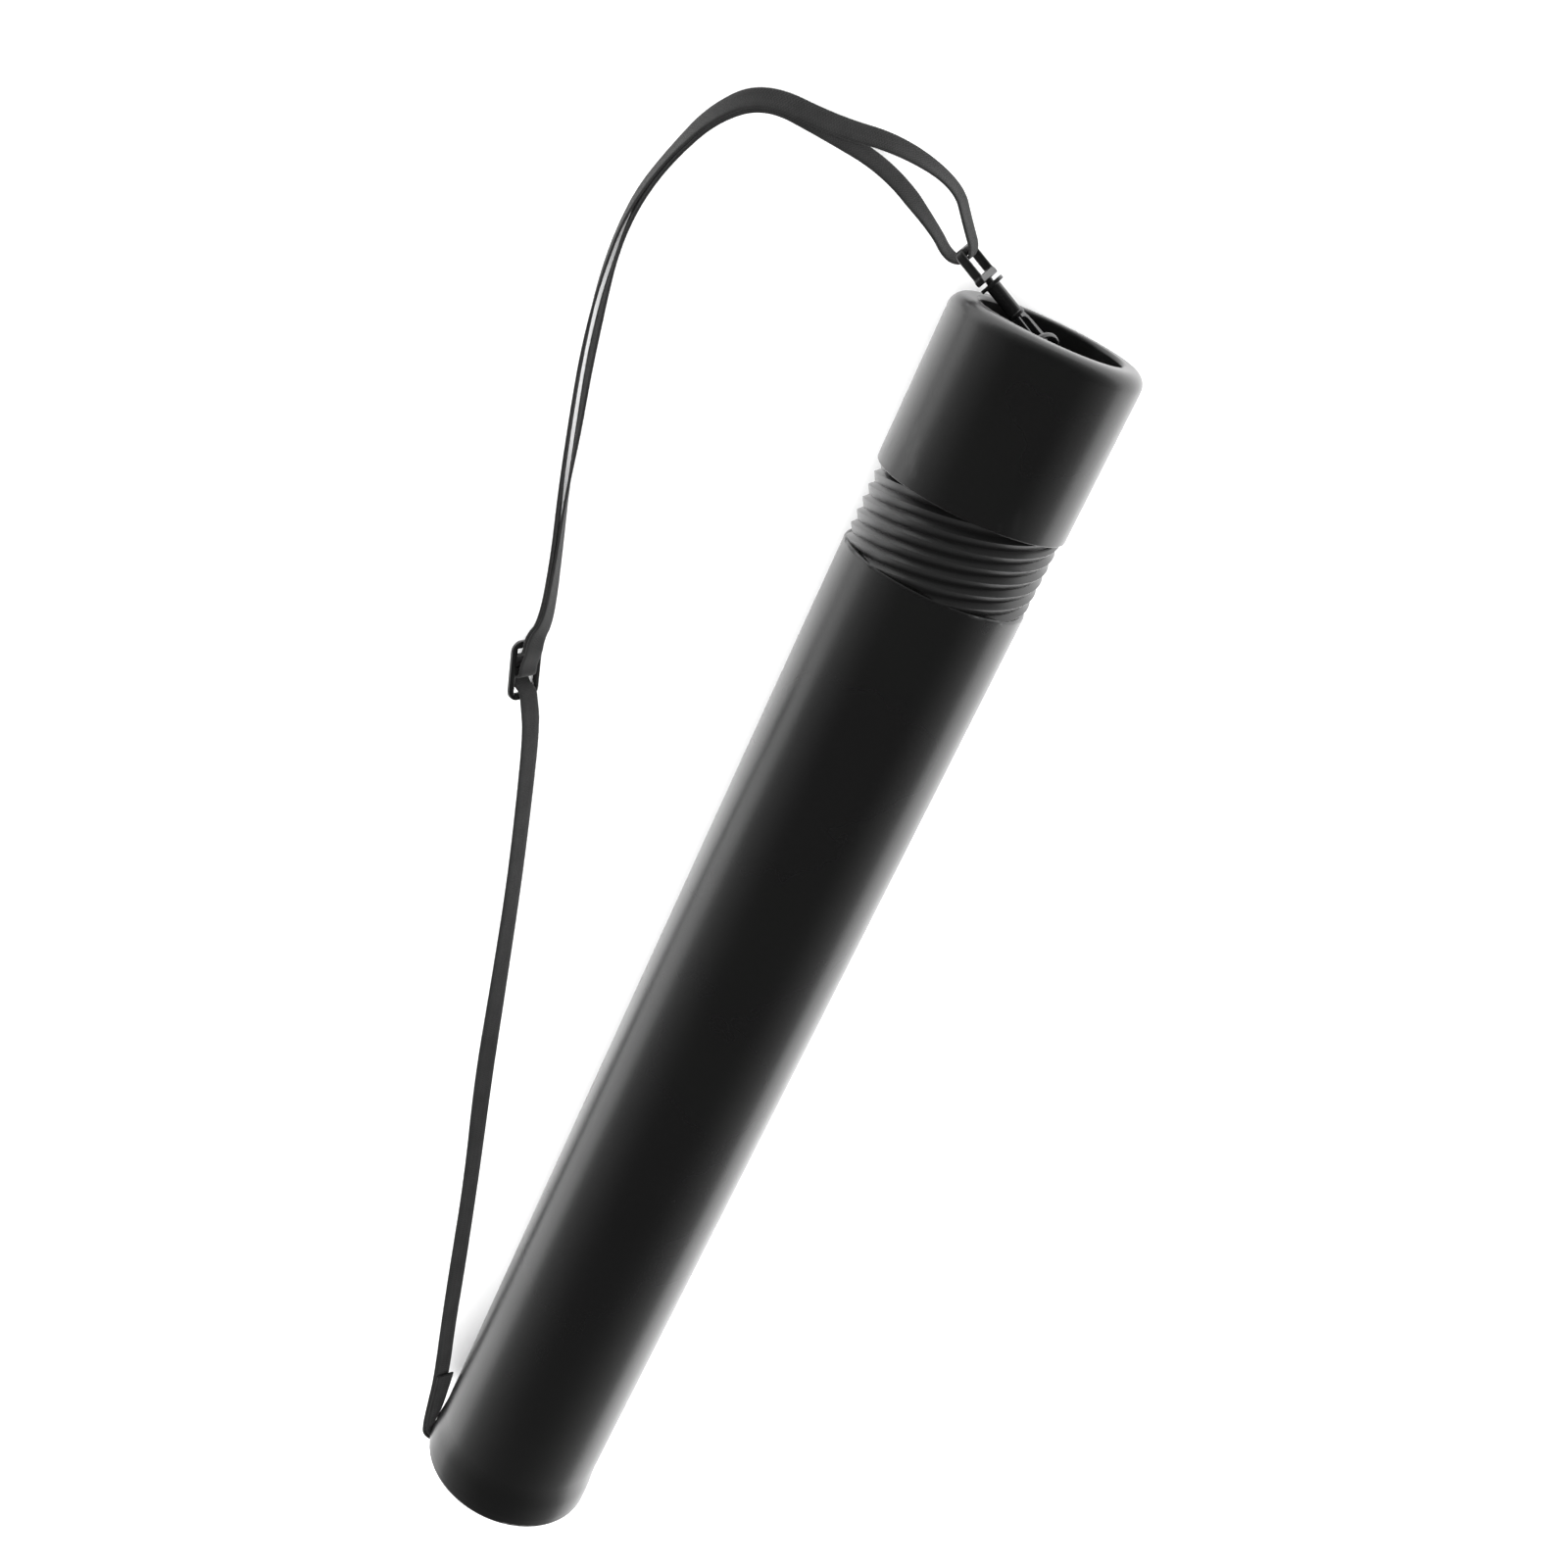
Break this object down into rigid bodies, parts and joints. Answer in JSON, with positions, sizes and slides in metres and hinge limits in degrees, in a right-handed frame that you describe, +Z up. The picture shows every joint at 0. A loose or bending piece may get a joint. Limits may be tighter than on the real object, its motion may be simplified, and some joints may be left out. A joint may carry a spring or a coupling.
{
  "type": "drawing tube",
  "caption": "Round black plastic drawing tube lying on its side, with a part-unscrewed cap, a bail in the cap's recess and a webbing shoulder strap with slider and snap hook.",
  "frame": {"origin": "on the floor under the middle of the tube, which lies on its side", "axes": "+X along the tube's axis from base to cap, +Y towards the side the strap lies on, +Z up"},
  "size_m": [0.6897, 0.2219, 0.0873],
  "materials": {
    "body_plastic": "satin moulded black",
    "cap_plastic": "satin moulded black, fine scuffs",
    "seal_rubber": "smooth black rubber",
    "rivet_steel": "plain steel",
    "hardware_plastic": "semi-gloss black",
    "hook_plastic": "semi-gloss black",
    "slider_plastic": "semi-gloss black",
    "webbing": "woven black webbing, 10 mm wide"
  },
  "bodies": {
    "root": {"tube_body": "body_plastic", "base_bar": "body_plastic", "strap_slider": "slider_plastic", "strap_base_loop": "webbing", "strap_single_run": "webbing", "strap_slider_weave": "webbing", "strap_sewn_end": "webbing", "strap_outer_strand": "webbing", "strap_inner_strand": "webbing"},
    "hanger": {"bail_plate": "hardware_plastic", "bail_ring": "hardware_plastic", "hook_eye": "hook_plastic", "swivel_pin": "rivet_steel", "strap_hook_loop": "webbing"},
    "cap": {"cap_shell": "cap_plastic", "cap_recess_cup": "cap_plastic", "cap_seal": "seal_rubber", "bail_stud": "rivet_steel"},
    "hook": {"hook_body": "hook_plastic"},
    "gate": {"hook_gate": "hook_plastic"}
  },
  "joints": [
    {"name": "cap_travel", "type": "slide", "parent": "root", "child": "hanger", "axis": [1, 0, 0], "range_m": [-0.0331, 0.0097]},
    {"name": "cap_turn", "type": "hinge", "parent": "hanger", "child": "cap", "pos_m": [0.3, 0, 0.04365], "axis": [1, 0, 0], "range_deg": [-247.5, 72]},
    {"name": "hook_swivel", "type": "hinge", "parent": "hanger", "child": "hook", "pos_m": [0.316, -0.0007, 0.04365], "axis": [0.4244, 0.8878, -0.1781], "range_deg": [-5, 8]},
    {"name": "hook_gate_hinge", "type": "hinge", "parent": "hook", "child": "gate", "pos_m": [0.3225, 0.01561, 0.04329], "axis": [0.8605, -0.3342, 0.3845], "range_deg": [0, 11], "stiffness_Nm_per_rad": 0.01, "springref_deg": -5.73}
  ],
  "couplings": [
    {"joint": "cap_travel", "follows": "cap_turn", "m_per_rad": 0.0076394}
  ]
}
